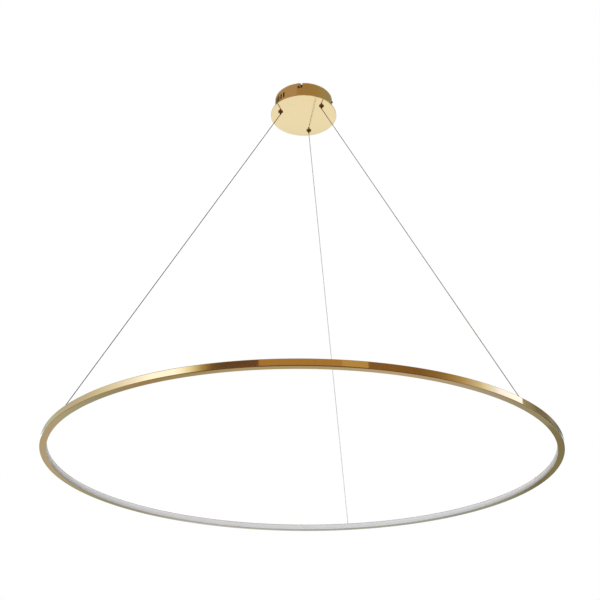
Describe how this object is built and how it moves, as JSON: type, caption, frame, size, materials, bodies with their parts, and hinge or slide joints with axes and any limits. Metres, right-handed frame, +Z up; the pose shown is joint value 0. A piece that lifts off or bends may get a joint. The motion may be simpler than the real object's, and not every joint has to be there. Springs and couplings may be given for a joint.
{
  "type": "led ring chandelier",
  "caption": "Thin gold-coloured LED ring with an inward-facing opal diffuser, hung level on slanting wires from a small round ceiling canopy with a mirror-polished disc.",
  "frame": {"origin": "centre of the ceiling plate's upper face, which lies on the ceiling", "axes": "+Z up, out of the ceiling; -Y is the side that faces the picture's camera; the wires leave at -73, 47 and 167 degrees from -Y towards +X"},
  "size_m": [1.2, 1.1999, 1.0755],
  "materials": {
    "gold_ring": "polished gold-coloured coating on rolled aluminium profile",
    "gold_canopy": "mirror-polished gold-coloured coating on steel",
    "gold_small": "polished, darker gold",
    "opal": "opal diffuser, satin, unlit",
    "zinc_steel": "zinc plated",
    "spring_steel": "bright",
    "wire_steel": "stranded stainless rope in clear sleeve",
    "brass_parts": "turned, unplated",
    "nylon": "natural nylon",
    "rubber": "matt",
    "driver_plastic": "moulded, fine texture",
    "circuit_board": "white solder mask",
    "lead_sleeve": "insulated leads"
  },
  "bodies": {
    "ceiling_mount": {"ceiling_plate": "zinc_steel", "side_screws": "gold_small", "earth_screw": "zinc_steel", "cable_grommet": "rubber"},
    "canopy": {"canopy_drum": "gold_canopy", "canopy_disc": "gold_canopy", "gripper_barrel_1": "gold_small", "gripper_barrel_2": "gold_small", "gripper_barrel_3": "gold_small", "gripper_plugs": "brass_parts", "lock_nuts": "zinc_steel", "shoulder_bushes": "nylon", "insulating_washers": "nylon", "gripper_spring_1": "spring_steel", "gripper_spring_2": "spring_steel", "gripper_spring_3": "spring_steel", "wire_tails": "wire_steel", "wire_end_stops": "brass_parts", "driver_case": "driver_plastic", "driver_cover": "driver_plastic", "driver_board": "circuit_board", "driver_components": "circuit_board", "driver_screws": "zinc_steel", "terminal_block": "driver_plastic", "terminal_screws": "zinc_steel", "mains_leads": "lead_sleeve", "output_leads": "lead_sleeve", "suspension_wire_1": "wire_steel", "suspension_wire_2": "wire_steel", "suspension_wire_3": "wire_steel"},
    "ring": {"ring_profile_a": "gold_ring", "ring_profile_b": "gold_ring", "diffuser_a": "opal", "diffuser_b": "opal", "led_strip_a": "circuit_board", "led_strip_b": "circuit_board", "led_chips": "circuit_board", "splice_bars": "zinc_steel", "splice_screws": "zinc_steel", "anchor_bushes": "nylon", "wire_anchors": "brass_parts", "wire_ends": "wire_steel", "feed_leads": "lead_sleeve", "seam_jumpers": "lead_sleeve"},
    "release_1": {"release_nozzle_1": "gold_small", "clamping_balls_1": "spring_steel"},
    "release_2": {"release_nozzle_2": "gold_small", "clamping_balls_2": "spring_steel"},
    "release_3": {"release_nozzle_3": "gold_small", "clamping_balls_3": "spring_steel"}
  },
  "joints": [
    {"name": "canopy_twist", "type": "hinge", "parent": "ceiling_mount", "child": "canopy", "pos_m": [0, 0, 0], "axis": [0, 0, 1], "range_deg": [-5.8, 0]},
    {"name": "ring_height", "type": "slide", "parent": "canopy", "child": "ring", "axis": [0, 0, 1], "range_m": [0, 0.5], "deforming": ["suspension_wire_1", "suspension_wire_2", "suspension_wire_3"]},
    {"name": "nozzle_1_press", "type": "slide", "parent": "canopy", "child": "release_1", "axis": [0, 0, 1], "range_m": [0, 0.002], "stiffness_N_per_m": 600, "springref_m": -0.004, "deforming": ["gripper_spring_1"]},
    {"name": "nozzle_2_press", "type": "slide", "parent": "canopy", "child": "release_2", "axis": [0, 0, 1], "range_m": [0, 0.002], "stiffness_N_per_m": 600, "springref_m": -0.004, "deforming": ["gripper_spring_2"]},
    {"name": "nozzle_3_press", "type": "slide", "parent": "canopy", "child": "release_3", "axis": [0, 0, 1], "range_m": [0, 0.002], "stiffness_N_per_m": 600, "springref_m": -0.004, "deforming": ["gripper_spring_3"]}
  ]
}
